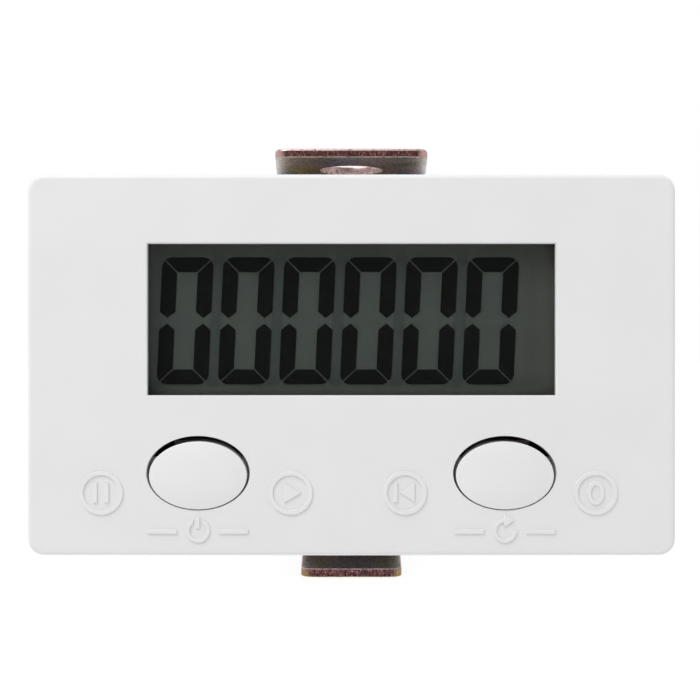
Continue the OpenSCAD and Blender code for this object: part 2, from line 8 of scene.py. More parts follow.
import bmesh
import bpy
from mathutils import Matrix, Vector


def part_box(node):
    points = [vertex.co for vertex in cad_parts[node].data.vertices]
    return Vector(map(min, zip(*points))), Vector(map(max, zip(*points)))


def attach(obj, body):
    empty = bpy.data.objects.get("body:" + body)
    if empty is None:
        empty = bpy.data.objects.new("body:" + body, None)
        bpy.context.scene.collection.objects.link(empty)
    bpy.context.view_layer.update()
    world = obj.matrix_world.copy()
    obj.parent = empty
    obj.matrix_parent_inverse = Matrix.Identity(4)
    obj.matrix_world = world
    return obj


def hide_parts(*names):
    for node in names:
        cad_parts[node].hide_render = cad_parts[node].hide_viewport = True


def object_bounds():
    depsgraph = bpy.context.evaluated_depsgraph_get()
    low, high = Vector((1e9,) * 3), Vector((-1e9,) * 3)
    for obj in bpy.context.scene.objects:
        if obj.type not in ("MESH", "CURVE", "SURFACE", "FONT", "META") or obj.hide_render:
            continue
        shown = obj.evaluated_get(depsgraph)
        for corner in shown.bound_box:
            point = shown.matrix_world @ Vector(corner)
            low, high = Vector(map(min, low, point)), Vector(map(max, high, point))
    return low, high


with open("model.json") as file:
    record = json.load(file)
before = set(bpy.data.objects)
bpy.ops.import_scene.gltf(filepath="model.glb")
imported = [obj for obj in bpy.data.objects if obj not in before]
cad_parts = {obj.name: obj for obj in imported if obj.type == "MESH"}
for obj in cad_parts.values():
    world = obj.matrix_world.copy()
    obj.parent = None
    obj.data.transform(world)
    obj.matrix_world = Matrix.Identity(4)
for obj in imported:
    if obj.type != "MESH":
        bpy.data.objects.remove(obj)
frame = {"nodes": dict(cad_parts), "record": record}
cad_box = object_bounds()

MM = 0.001


# ---------------------------------------------------------------- sizes, from the frame
def body_of(node):
    return next(body for body, members in frame["record"]["behaviour"]["bodies"].items() if node in members)


def slot_of(node):
    return next(s["material_slot"] for s in frame["record"]["subparts"] if s["node"] == node)


def frame_high(node):
    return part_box(node)[1]


CASE_LOW, CASE_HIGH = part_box("front_case")
GLASS_LOW, GLASS_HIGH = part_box("lcd_front_glass")
BRACKET_LOW, BRACKET_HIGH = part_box("mounting_bracket")
STRIP = 0.9 * MM                                    # thickness of the bracket's steel
ICON_RELIEF = 0.14 * MM
FRONT_Y = CASE_LOW.y + ICON_RELIEF                  # the bezel's front face

# The digits, in millimetres
DIGIT_COUNT = 6
DIGIT_PITCH = 5.92
DIGIT_MIDDLE_Z = 4.26
DIGIT_SLANT = 0.0467                                # run to the right for each millimetre up
FIRST_DIGIT_X = -16.11 - DIGIT_SLANT * DIGIT_MIDDLE_Z         # where its middle line crosses the X axis
LAST_DIGIT_X = FIRST_DIGIT_X + (DIGIT_COUNT - 1) * DIGIT_PITCH


# ---------------------------------------------------------------- camera, light and floor
def add_camera():
    """The camera looks straight at the bezel, a little above and left of its centre."""
    distance = 115 * MM
    data = bpy.data.cameras.new("camera")
    data.lens = 61.97
    data.sensor_width = 36
    data.clip_start = 0.01
    camera = bpy.data.objects.new("camera", data)
    camera.location = (-0.14 * MM, FRONT_Y - distance, 1.43 * MM)
    camera.rotation_euler = (math.radians(90), 0, 0)
    bpy.context.scene.collection.objects.link(camera)
    bpy.context.scene.camera = camera


def add_soft_light(name, towards, distance, size, watts):
    """A square softbox that stands in direction towards and faces the object."""
    data = bpy.data.lights.new(name, "AREA")
    data.energy = watts
    data.size = size
    light = bpy.data.objects.new(name, data)
    direction = Vector(towards).normalized()
    light.location = direction * distance
    light.rotation_euler = direction.to_track_quat("Z", "Y").to_euler()
    bpy.context.scene.collection.objects.link(light)


def add_world():
    """A white light tent that is dim on the side that the bezel faces, and turned a little to the left."""
    turn = math.radians(12)
    dim, full = (0.15, 0.15, 0.15, 1), (1.0, 1.0, 1.0, 1)
    world = bpy.data.worlds.new("light_tent")
    world.use_nodes = True
    nodes, links = world.node_tree.nodes, world.node_tree.links
    direction = nodes.new("ShaderNodeTexCoord").outputs["Generated"]
    mapping = nodes.new("ShaderNodeMapping")
    mapping.inputs["Rotation"].default_value = (0, 0, turn)
    links.new(direction, mapping.inputs["Vector"])
    split = nodes.new("ShaderNodeSeparateXYZ")
    links.new(mapping.outputs["Vector"], split.inputs[0])
    share = nodes.new("ShaderNodeMapRange")
    share.interpolation_type = "SMOOTHSTEP"
    share.inputs["From Min"].default_value = -1.0
    share.inputs["From Max"].default_value = 0.2
    links.new(split.outputs["Y"], share.inputs["Value"])
    tint = nodes.new("ShaderNodeMix")
    tint.data_type = "RGBA"
    tint.inputs["A"].default_value = dim
    tint.inputs["B"].default_value = full
    links.new(share.outputs["Result"], tint.inputs["Factor"])
    links.new(tint.outputs["Result"], nodes["Background"].inputs["Color"])
    bpy.context.scene.world = world


def add_floor():
    """A glowing white floor that blends with the light tent. It starts at the model's lowest point."""
    size = 4.0
    bpy.ops.mesh.primitive_plane_add(size=size, location=(0, 0, cad_box[0].z))
    floor = bpy.context.active_object
    floor.name = "floor"
    material = bpy.data.materials.new("floor_glow_white")
    material.use_nodes = True
    shader = material.node_tree.nodes["Principled BSDF"]
    shader.inputs["Base Color"].default_value = (0.22, 0.22, 0.22, 1)
    shader.inputs["Roughness"].default_value = 0.9
    shader.inputs["Specular IOR Level"].default_value = 0.0
    shader.inputs["Emission Color"].default_value = (1, 1, 1, 1)
    shader.inputs["Emission Strength"].default_value = 0.88
    floor.data.materials.append(material)


add_camera()
add_world()
add_soft_light("key_softbox", (-0.37, -0.46, 0.80), 0.6, 0.4, 2.92)
add_floor()
bpy.context.scene.view_settings.view_transform = "Standard"


# ---------------------------------------------------------------- materials
class Finish:
    """A node material round one Principled shader, with patterns sized in millimetres of the frame."""

    def __init__(self, name, **values):
        self.material = bpy.data.materials.new(name)
        self.material.use_nodes = True
        self.nodes = self.material.node_tree.nodes
        self.links = self.material.node_tree.links
        self.shader = self.nodes["Principled BSDF"]
        for socket, value in values.items():
            self.shader.inputs[socket.replace("_", " ")].default_value = value
        self.place = self.stretched((1, 1, 1))

    def stretched(self, scale):
        """The position in millimetres, multiplied by scale along each axis."""
        place = self.nodes.new("ShaderNodeMapping")
        place.inputs["Scale"].default_value = [s / MM for s in scale]
        self.links.new(self.nodes.new("ShaderNodeTexCoord").outputs["Object"], place.inputs["Vector"])
        return place.outputs["Vector"]

    def noise(self, feature, detail=3.0, roughness=0.5, place=None, distortion=0.0):
        """Noise from 0 to 1 with blotches about feature millimetres across."""
        node = self.nodes.new("ShaderNodeTexNoise")
        node.inputs["Scale"].default_value = 1 / feature
        node.inputs["Detail"].default_value = detail
        node.inputs["Roughness"].default_value = roughness
        node.inputs["Distortion"].default_value = distortion
        self.links.new(place or self.place, node.inputs["Vector"])
        return node.outputs["Fac"]

    def ramp(self, value, stops):
        """A colour from a value, by (position, colour) stops."""
        node = self.nodes.new("ShaderNodeValToRGB")
        elements = node.color_ramp.elements
        while len(elements) < len(stops):
            elements.new(0.5)
        for element, (position, colour) in zip(elements, stops):
            element.position = position
            element.color = (*colour, 1)
        self.links.new(value, node.inputs["Fac"])
        return node.outputs["Color"]

    def spread(self, value, low, high, out_low, out_high):
        """value, taken from low..high to out_low..out_high."""
        node = self.nodes.new("ShaderNodeMapRange")
        numbers = {"From Min": low, "From Max": high, "To Min": out_low, "To Max": out_high}
        for socket, number in numbers.items():
            node.inputs[socket].default_value = number
        self.links.new(value, node.inputs["Value"])
        return node.outputs["Result"]

    def mix(self, factor, a, b):
        """a where factor is 0, b where it is 1. Both are colours or outputs."""
        node = self.nodes.new("ShaderNodeMix")
        node.data_type = "RGBA"
        for socket, given in (("A", a), ("B", b)):
            if isinstance(given, tuple):
                node.inputs[socket].default_value = (*given, 1)
            else:
                self.links.new(given, node.inputs[socket])
        self.links.new(factor, node.inputs["Factor"])
        return node.outputs["Result"]

    def absolute(self, value):
        node = self.nodes.new("ShaderNodeMath")
        node.operation = "ABSOLUTE"
        self.links.new(value, node.inputs[0])
        return node.outputs[0]

    def pingpong(self, value, reach):
        """value, folded to rise and fall between 0 and reach."""
        node = self.nodes.new("ShaderNodeMath")
        node.operation = "PINGPONG"
        self.links.new(value, node.inputs[0])
        node.inputs[1].default_value = reach
        return node.outputs[0]

    def along(self, direction):
        """The position along a direction in millimetres, times the direction's length."""
        node = self.nodes.new("ShaderNodeVectorMath")
        node.operation = "DOT_PRODUCT"
        self.links.new(self.place, node.inputs[0])
        node.inputs[1].default_value = direction
        return node.outputs["Value"]

    def axis(self, letter):
        """The position along one axis in millimetres."""
        node = self.nodes.new("ShaderNodeSeparateXYZ")
        self.links.new(self.place, node.inputs[0])
        return node.outputs[letter]

    def colour(self, output):
        self.links.new(output, self.shader.inputs["Base Color"])
        return self

    def roughness(self, output):
        self.links.new(output, self.shader.inputs["Roughness"])
        return self

    def bump(self, height, depth):
        """Raises the surface by up to depth millimetres where height is 1."""
        node = self.nodes.new("ShaderNodeBump")
        node.inputs["Distance"].default_value = depth * MM
        node.inputs["Strength"].default_value = 1.0
        self.links.new(height, node.inputs["Height"])
        self.links.new(node.outputs["Normal"], self.shader.inputs["Normal"])
        return self


def moulded_plastic(name, colour, grain, gloss, specular=0.4, grain_depth=0.002):
    """Injection-moulded plastic: even colour with faint flow marks, and a fine grain from the mould."""
    finish = Finish(name, Specular_IOR_Level=specular)
    flow = finish.noise(7, detail=2)
    darker = tuple(c * 0.975 for c in colour)
    finish.colour(finish.mix(finish.spread(flow, 0.3, 0.7, 0, 1), darker, colour))
    finish.roughness(finish.spread(finish.noise(0.6), 0.3, 0.7, gloss - 0.04, gloss + 0.04))
    return finish.bump(finish.noise(grain, detail=4), grain_depth).material


def plated_metal(name, colour, tarnish, roughness, lay=(1, 1, 1)):
    """A thin bright plating with cloudy patches and fine marks along the lay."""
    finish = Finish(name, Metallic=1.0)
    cloud = finish.noise(1.8, detail=4, roughness=0.6)
    finish.colour(finish.mix(finish.spread(cloud, 0.35, 0.7, 0, 1), colour, tarnish))
    marks = finish.noise(0.22, detail=3, place=finish.stretched(lay))
    finish.roughness(finish.spread(marks, 0.3, 0.7, roughness - 0.06, roughness + 0.08))
    return finish.bump(marks, 0.004).material


def yellow_zinc(name):
    """Yellow chromate on zinc: an iridescent film that drifts between olive, gold, pink and violet, with
    painted shade that darkens the lower arm to a near-black brown.
    """
    finish = Finish(name, Metallic=0.85, Specular_IOR_Level=0.3)
    drift = finish.noise(6.5, detail=2, roughness=0.4, distortion=0.6)
    film = finish.ramp(drift, [
        (0.30, (0.11, 0.11, 0.07)),
        (0.42, (0.23, 0.21, 0.10)),
        (0.50, (0.33, 0.25, 0.16)),
        (0.56, (0.33, 0.22, 0.22)),
        (0.63, (0.23, 0.20, 0.26)),
        (0.72, (0.16, 0.18, 0.14))])
    across = finish.absolute(finish.axis("X"))
    middle = finish.spread(across, 1.5, 4.0, 0.5, 0)
    sides = finish.spread(across, 7.0, 7.8, 0, 0.6)
    # painted shade: the lower arm is darkened to a near-black brown, standing in for the shade in the deep
    # gap between it and the case
    lower_arm = finish.spread(finish.axis("Z"), -19.0, -20.5, 0, 0.85)
    film = finish.mix(middle, film, (0.34, 0.29, 0.36))
    film = finish.mix(sides, film, (0.56, 0.50, 0.60))
    finish.colour(finish.mix(lower_arm, film, (0.035, 0.024, 0.022)))
    rolling = finish.noise(0.12, detail=3, place=finish.stretched((1, 0.12, 0.12)))
    stains = finish.noise(0.5, detail=4, roughness=0.7)
    finish.roughness(finish.spread(stains, 0.35, 0.7, 0.20, 0.40))
    return finish.bump(rolling, 0.004).material


def rim_zinc(name, pale, dark, roughness):
    """The bracket's rims, worn bright, with darker flecks of film."""
    finish = Finish(name, Metallic=0.9, Specular_IOR_Level=0.4)
    flecks = finish.noise(0.3, detail=3, roughness=0.6)
    finish.colour(finish.mix(finish.spread(flecks, 0.48, 0.66, 0, 1), pale, dark))
    finish.roughness(finish.spread(flecks, 0.3, 0.7, roughness, roughness + 0.15))
    return finish.bump(flecks, 0.008).material


def sheared_zinc(name):
    """The strip's sheared edges: dark red-brown film over torn metal, with bright specks and worn tips."""
    finish = Finish(name, Metallic=0.7, Specular_IOR_Level=0.3)
    tears = finish.noise(0.16, detail=4, roughness=0.65, place=finish.stretched((1, 0.5, 0.5)))
    film = finish.ramp(tears, [
        (0.34, (0.030, 0.016, 0.017)),
        (0.46, (0.10, 0.040, 0.040)),
        (0.58, (0.20, 0.080, 0.076)),
        (0.70, (0.50, 0.28, 0.26))])
    across = finish.absolute(finish.axis("X"))
    upper_corner = finish.spread(across, 6.7, 7.2, 0, 0.8)
    lower_corner = finish.spread(across, 4.1, 4.7, 0, 0.75)
    on_upper = finish.spread(finish.axis("Z"), -1, 1, 0, 1)
    at_tip = finish.spread(finish.axis("Y"), 5.6, 6.6, 1, 0)
    corner = finish.mix(at_tip, (0, 0, 0), finish.mix(on_upper, lower_corner, upper_corner))
    worn = finish.mix(on_upper, (0.40, 0.28, 0.13), (0.56, 0.38, 0.36))
    finish.colour(finish.mix(corner, film, worn))
    finish.roughness(finish.spread(tears, 0.3, 0.7, 0.55, 0.34))
    return finish.bump(tears, 0.02).material


def lcd_film(name):
    """The front polariser: a thin dark film that lets the cell show through."""
    finish = Finish(name, Alpha=0.16, Specular_IOR_Level=0.04)
    haze = finish.noise(0.05, detail=3)
    share = finish.spread(haze, 0.3, 0.7, 0, 1)
    finish.colour(finish.mix(share, (0.004, 0.004, 0.004), (0.006, 0.006, 0.006)))
    finish.roughness(finish.spread(haze, 0.3, 0.7, 0.22, 0.30))
    return finish.material


def clear_glass(name):
    """The front glass, nearly all clear: the parts behind it make the display's colour."""
    finish = Finish(name, Alpha=0.02, Specular_IOR_Level=0.03, Roughness=0.05)
    finish.colour(finish.mix(finish.noise(4), (0.10, 0.12, 0.11), (0.12, 0.14, 0.13)))
    return finish.material


def lcd_back(name):
    """The rear glass with its reflecting film: grey-green, greyer at the top and towards the right, darker
    and bluer between the digits as painted shadow of the segments, and paler at the left, right and bottom
    margins as painted light.
    """
    finish = Finish(name, Specular_IOR_Level=0.1)
    sparkle = finish.noise(0.06, detail=3, roughness=0.7)
    clouds = finish.noise(3.2, detail=2)
    base = finish.mix(finish.spread(clouds, 0.35, 0.65, 0, 1), (0.106, 0.124, 0.104), (0.100, 0.117, 0.110))
    across, up = finish.axis("X"), finish.axis("Z")
    upright = finish.along((1, 0, -DIGIT_SLANT))
    row = finish.spread(upright, FIRST_DIGIT_X, LAST_DIGIT_X, 0, (DIGIT_COUNT - 1) * DIGIT_PITCH)
    from_digit = finish.pingpong(row, DIGIT_PITCH / 2)
    # painted shadow: darker and bluer between the digits, where the segments would shade the reflector behind
    # them
    base = finish.mix(finish.spread(from_digit, 2.3, 2.5, 0, 0.5), base, (0.040, 0.055, 0.062))
    for place, start, end, share, tint in (
            (up, 10.4, 10.8, 0.9, (0.102, 0.104, 0.094)),
            (across, 15.9, 16.3, 0.8, (0.106, 0.114, 0.100)),
            # painted light: the next three tints lighten the right, left and bottom margins, against the
            # shade that the window's lip casts there
            (across, 17.6, 19.5, 1, (0.156, 0.162, 0.142)),
            (across, -18.7, -19.5, 1, (0.152, 0.152, 0.150)),
            (up, -1.8, -2.4, 1, (0.138, 0.148, 0.128))):
        base = finish.mix(finish.spread(place, start, end, 0, share), base, tint)
    finish.colour(finish.mix(finish.spread(sparkle, 0.35, 0.65, 0, 0.35), base, (0.080, 0.094, 0.086)))
    finish.roughness(finish.spread(sparkle, 0.3, 0.7, 0.5, 0.7))
    return finish.bump(sparkle, 0.004).material


def flat_ink(name):
    """The segments: matt and all but black."""
    finish = Finish(name, Specular_IOR_Level=0.05)
    grain = finish.noise(0.08)
    share = finish.spread(grain, 0.3, 0.7, 0, 1)
    finish.colour(finish.mix(share, (0.003, 0.003, 0.0032), (0.006, 0.006, 0.0065)))
    finish.roughness(finish.spread(grain, 0.3, 0.7, 0.6, 0.8))
    return finish.material


def striped_rubber(name):
    """An elastomer connector: pale rubber with fine carbon layers across its length."""
    finish = Finish(name, Specular_IOR_Level=0.2)
    wave = finish.nodes.new("ShaderNodeTexWave")
    wave.bands_direction = "X"
    wave.inputs["Scale"].default_value = 1.6
    finish.links.new(finish.place, wave.inputs["Vector"])
    rubber, carbon = (0.55, 0.30, 0.30), (0.02, 0.02, 0.02)
    finish.colour(finish.ramp(wave.outputs["Fac"], [(0.45, rubber), (0.55, carbon)]))
    finish.roughness(finish.spread(finish.noise(0.3), 0.3, 0.7, 0.6, 0.8))
    return finish.bump(finish.noise(0.1), 0.004).material


def solder_mask(name):
    """Green solder mask over copper tracks."""
    finish = Finish(name, Coat_Weight=0.3)
    brick = finish.nodes.new("ShaderNodeTexBrick")
    brick.inputs["Scale"].default_value = 0.55
    brick.inputs["Mortar Size"].default_value = 0.09
    brick.inputs["Mortar Smooth"].default_value = 0.1
    brick.inputs["Color1"].default_value = (0.012, 0.11, 0.045, 1)
    brick.inputs["Color2"].default_value = (0.014, 0.12, 0.050, 1)
    brick.inputs["Mortar"].default_value = (0.03, 0.20, 0.08, 1)
    upright = finish.nodes.new("ShaderNodeMapping")
    upright.inputs["Rotation"].default_value = (math.radians(90), 0, 0)
    finish.links.new(finish.place, upright.inputs["Vector"])
    finish.links.new(upright.outputs["Vector"], brick.inputs["Vector"])
    finish.colour(brick.outputs["Color"])
    finish.roughness(finish.spread(finish.noise(1.0), 0.3, 0.7, 0.25, 0.4))
    return finish.bump(brick.outputs["Fac"], 0.03).material


def cell_sleeve(name):
    """The cell's shrink sleeve: dark blue, then a narrow pale band, and copper towards its plus end."""
    finish = Finish(name, Coat_Weight=0.4)
    along = finish.spread(finish.axis("X"), -21.0, 22.7, 0, 1)
    bands = finish.ramp(along, [
        (0.00, (0.02, 0.045, 0.16)),
        (0.655, (0.02, 0.05, 0.18)),
        (0.66, (0.62, 0.62, 0.60)),
        (0.675, (0.62, 0.62, 0.60)),
        (0.68, (0.55, 0.25, 0.10)),
        (1.00, (0.60, 0.28, 0.12))])
    finish.colour(finish.mix(finish.spread(finish.noise(0.5), 0.35, 0.7, 0, 0.2), bands, (0.2, 0.2, 0.2)))
    finish.roughness(finish.spread(finish.noise(0.4), 0.3, 0.7, 0.2, 0.34))
    return finish.bump(finish.noise(2.5), 0.01).material


# By material slot, and after the slots' own a few that only some faces or nodes have
MATERIALS = {
    "white_abs": moulded_plastic("abs_white", (0.72, 0.72, 0.725), grain=0.09, gloss=0.46),
    "button_abs": moulded_plastic(
        "abs_button_white", (0.73, 0.73, 0.735), grain=0.3, gloss=0.32, grain_depth=0.0002),
    "holder_plastic": moulded_plastic("holder_charcoal", (0.05, 0.05, 0.052), grain=0.2, gloss=0.5),
    "switch_plastic": moulded_plastic("switch_grey", (0.34, 0.30, 0.31), grain=0.12, gloss=0.5),
    "black_resin": moulded_plastic(
        "resin_black", (0.016, 0.016, 0.017), grain=0.4, gloss=0.34, grain_depth=0.01),
    "capacitor_ceramic": moulded_plastic("ceramic_tan", (0.42, 0.28, 0.16), grain=0.1, gloss=0.55),
    "seal_resin": moulded_plastic("seal_grey", (0.10, 0.11, 0.10), grain=0.1, gloss=0.5),
    "reflector_film": moulded_plastic("reflector_grey_green", (0.12, 0.14, 0.12), grain=0.05, gloss=0.6),
    "screw_steel": plated_metal(
        "zinc_clear", (0.62, 0.64, 0.66), (0.46, 0.47, 0.46), 0.30, lay=(1, 0.2, 1)),
    "nickel_can": plated_metal("nickel", (0.68, 0.65, 0.60), (0.58, 0.55, 0.50), 0.22),
    "nut_nickel": plated_metal(
        "nickel_turned", (0.66, 0.63, 0.58), (0.52, 0.49, 0.44), 0.26, lay=(1, 0.15, 1)),
    "tinned_metal": plated_metal("tin", (0.70, 0.70, 0.70), (0.52, 0.52, 0.53), 0.34),
    "brass": plated_metal("brass", (0.72, 0.50, 0.20), (0.50, 0.34, 0.14), 0.28),
    "yellow_zinc_steel": yellow_zinc("yellow_zinc"),
    "sheared_edges": sheared_zinc("sheared_zinc"),
    "rolled_rim": rim_zinc("rim_pink", (0.58, 0.42, 0.42), (0.26, 0.15, 0.15), 0.30),
    "crisp_rim": rim_zinc("rim_straw", (0.62, 0.56, 0.34), (0.30, 0.24, 0.14), 0.30),
    # painted shade: the switch covers get a darker, reddish steel so that they sit with the shade in the gaps
    # round the buttons
    "dark_can": plated_metal("steel_dark_as_shade", (0.34, 0.28, 0.29), (0.26, 0.21, 0.22), 0.5),
    "polarizer_film": lcd_film("polarizer"),
    "lcd_glass": clear_glass("glass_clear"),
    "lcd_back": lcd_back("glass_back"),
    "lcd_ink": flat_ink("segment_black"),
    "zebra_rubber": striped_rubber("zebra"),
    "board_laminate": solder_mask("solder_mask_green"),
    "cell_sleeve": cell_sleeve("cell_wrap"),
}
# the switch covers' darker finish is painted shade
OWN_FINISH = {"lcd_rear_glass": "lcd_back", "switch_covers": "dark_can"}    # nodes unlike their slot


def finish_of(node):
    return MATERIALS[OWN_FINISH.get(node, slot_of(node))]


# ---------------------------------------------------------------- mesh helpers
def near(value, target, slack=0.02 * MM):
    return abs(value - target) < slack


def cad_copy(node):
    """A welded copy of a CAD node's mesh, with its flat faces joined."""
    bm = bmesh.new()
    bm.from_mesh(frame["nodes"][node].data)
    bmesh.ops.remove_doubles(bm, verts=bm.verts, dist=0.002 * MM)
    bmesh.ops.dissolve_limit(bm, angle_limit=math.radians(0.6), verts=bm.verts[:], edges=bm.edges[:])
    bm.normal_update()
    return bm


def round_edges(bm, radius, where=None, segments=3, material=-1, clamp=False):
    """Rounds the sharp outside edges whose middle passes the test where. The radius is in millimetres.

    The new faces get the material of that number in the piece's list. With -1 they take their neighbours'."""
    sharp = math.radians(35)
    edges = []
    for edge in bm.edges:
        if not edge.is_manifold or not edge.is_convex or edge.calc_face_angle(0) < sharp:
            continue
        middle = (edge.verts[0].co + edge.verts[1].co) / 2
        if where is None or where(middle):
            edges.append(edge)
    bmesh.ops.bevel(
        bm, geom=edges, offset=radius * MM, offset_type="OFFSET", segments=segments, profile=0.5,
        affect="EDGES", clamp_overlap=clamp, material=material, miter_outer="SHARP", miter_inner="SHARP")
    bm.normal_update()


def free_corners(bm, where, centre):
    """Takes the edges that cross a flat face away from the corners that pass the test where.

    Cuts through the opening's centre hold the face round it together instead."""
    flat = math.radians(1)
    for normal in ((1, 0, 0), (0, 0, 1)):
        everything = bm.verts[:] + bm.edges[:] + bm.faces[:]
        bmesh.ops.bisect_plane(bm, geom=everything, plane_co=centre, plane_no=normal)
    bm.normal_update()
    spokes = [edge for edge in bm.edges if edge.calc_face_angle(1) < flat
              and any(where(vert.co) and not near(vert.co.x, centre.x) and not near(vert.co.z, centre.z)
                      for vert in edge.verts)]
    bmesh.ops.dissolve_edges(bm, edges=spokes)
    bm.normal_update()


def unfold(bm):
    """Joins the slivers that a bevel can fold back over a flat face with the faces beside them."""
    folded = math.radians(175)
    for _ in range(3):
        folds = [edge for edge in bm.edges if edge.is_manifold and edge.calc_face_angle(0) > folded]
        bmesh.ops.dissolve_edges(bm, edges=folds)
        bm.normal_update()


def make_piece(name, bm, node, materials=None, crease=40):
    """Turns a bmesh into the piece that stands for a CAD node: smooth, but creased at its sharp edges."""
    mesh = bpy.data.meshes.new(name)
    bm.to_mesh(mesh)
    bm.free()
    mesh.shade_smooth()
    mesh.set_sharp_from_angle(angle=math.radians(crease))
    for material in materials or [finish_of(node)]:
        mesh.materials.append(material)
    piece = bpy.data.objects.new(name, mesh)
    bpy.context.scene.collection.objects.link(piece)
    weights = piece.modifiers.new("flat_faces_stay_flat", "WEIGHTED_NORMAL")
    weights.keep_sharp = True
    weights.weight = 90
    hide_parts(node)
    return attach(piece, body_of(node))


def rounded(node, radius, **how):
    """A CAD node with its edges rounded, as a piece of its own."""
    bm = cad_copy(node)
    round_edges(bm, radius, **how)
    return make_piece(node + "_finished", bm, node)


def circle(centre, radius, angle, y):
    """A point on a circle round an axis along Y. centre is the axis' (x, z), and all is in millimetres."""
    return Vector((centre[0] + radius * math.cos(angle), y, centre[1] + radius * math.sin(angle))) * MM


def loft(bm, rings, closed=False):
    """Quads between rings of points. The ends are capped, unless the last ring joins the first."""
    loops = [[bm.verts.new(point) for point in ring] for ring in rings]
    pairs = list(zip(loops, loops[1:] + loops[:1])) if closed else list(zip(loops, loops[1:]))
    for lower, upper in pairs:
        for k in range(len(lower)):
            after = (k + 1) % len(lower)
            bm.faces.new((lower[k], lower[after], upper[after], upper[k]))
    if not closed:
        bm.faces.new(loops[0])
        bm.faces.new(loops[-1])
    bmesh.ops.recalc_face_normals(bm, faces=bm.faces)


def turned(bm, centre, profile, closed=False, sides=64, along="Y"):
    """A turned solid. profile lists (distance along the axis, radius), both absolute, in millimetres.

    centre holds the axis' other two coordinates: (x, z) along Y, or (y, z) along X."""
    rings = []
    for place, radius in profile:
        ring = []
        for k in range(sides):
            angle = 2 * math.pi * k / sides
            across = centre[0] + radius * math.cos(angle)
            up = centre[1] + radius * math.sin(angle)
            point = (across, place, up) if along == "Y" else (place, across, up)
            ring.append(Vector(point) * MM)
        rings.append(ring)
    loft(bm, rings, closed)


THREAD = ((0.0, 0.0), (0.14, 0.0), (0.44, 1.0), (0.70, 1.0))     # (share of the pitch, share of the depth)


def threaded_rod(bm, centre, start, end, radius, pitch, sides=40):
    """A right-handed thread along Y from start to end, in millimetres, with a chamfered rear end."""
    depth = 0.58 * pitch
    twin = 0.0005 * MM                                  # points closer than this are one

    def depth_at(phase):
        stops = THREAD + ((1.0, 0.0),)
        for (p0, d0), (p1, d1) in zip(stops, stops[1:]):
            if phase <= p1:
                return depth * (d0 + (d1 - d0) * (phase - p0) / (p1 - p0))
        return 0.0

    rings = []
    for turn in range(-1, math.ceil((end - start) / pitch) + 1):
        for phase, _ in THREAD:
            ring = []
            for k in range(sides):
                angle = 2 * math.pi * k / sides
                y = min(max(start + (turn + phase + k / sides) * pitch, start), end)
                local = ((y - start) / pitch - k / sides) % 1.0
                reach = min(radius - depth_at(local), radius - depth + (end - y))
                across, up = reach * math.sin(angle), reach * math.cos(angle)
                ring.append(Vector((centre[0] + across, y, centre[1] + up)) * MM)
            rings.append(ring)
    loft(bm, rings)
    bmesh.ops.remove_doubles(bm, verts=bm.verts[:], dist=twin)


def tube(bm, path, radius, sides=16):
    """A round wire along a path of points, all in millimetres."""
    rings = []
    for i, point in enumerate(path):
        ahead = (path[min(i + 1, len(path) - 1)] - path[max(i - 1, 0)]).normalized()
        side = ahead.cross(Vector((1, 0, 0))).normalized()
        up = side.cross(ahead)
        rings.append([(point + radius * (side * math.cos(a) + up * math.sin(a))) * MM
                      for a in (2 * math.pi * k / sides for k in range(sides))])
    loft(bm, rings)


# ---------------------------------------------------------------- the case
def make_front_case():
    """The bezel and shell, with small radii on every rim that the mould leaves."""
    bm = cad_copy("front_case")
    half_w, half_h = CASE_HIGH.x, CASE_HIGH.z
    window_z = (GLASS_LOW.z + GLASS_HIGH.z) / 2
    window_half_w, window_half_h = 19.6 * MM, 7.4 * MM              # a little more than the window's own
    hole_x, hole_z = (9 * MM, 20.3 * MM), (-14.2 * MM, -6.3 * MM)   # the button holes lie within these
    flange = 2 * MM
    wall_x, wall_z = 28.4 * MM, 15.4 * MM                           # halfway into the shell's walls

    def in_window(p):
        return near(p.y, FRONT_Y) and abs(p.x) < window_half_w and abs(p.z - window_z) < window_half_h

    def on_button_hole(p):
        return near(p.y, FRONT_Y) and hole_x[0] < abs(p.x) < hole_x[1] and hole_z[0] < p.z < hole_z[1]

    def on_icon_top(p):
        return near(p.y, CASE_LOW.y)

    def on_bezel_back(p):
        return near(p.y, 0) and (abs(p.x) > half_w - flange or abs(p.z) > half_h - flange)

    def on_shell_end(p):
        return near(p.y, CASE_HIGH.y) and (abs(p.x) > wall_x or abs(p.z) > wall_z)

    free_corners(bm, in_window, Vector((0, 0, window_z)))
    round_edges(bm, 0.15, in_window, segments=5)
    round_edges(bm, 0.06, on_button_hole, segments=5)
    round_edges(bm, 0.05, on_icon_top, segments=2)
    round_edges(bm, 0.20, on_bezel_back, segments=5)
    round_edges(bm, 0.15, on_shell_end, segments=5)
    make_piece("front_case_finished", bm, "front_case", crease=20)


def make_rear_cover():
    """The snap-in rear cover, with rounded outer rims around its face and its terminal barriers."""
    bm = cad_copy("rear_cover")
    back_y = frame_high("battery_door").y

    def on_back(p):
        return p.y > back_y - 0.02 * MM

    round_edges(bm, 0.18, on_back, clamp=True)
    unfold(bm)
    make_piece("rear_cover_finished", bm, "rear_cover")


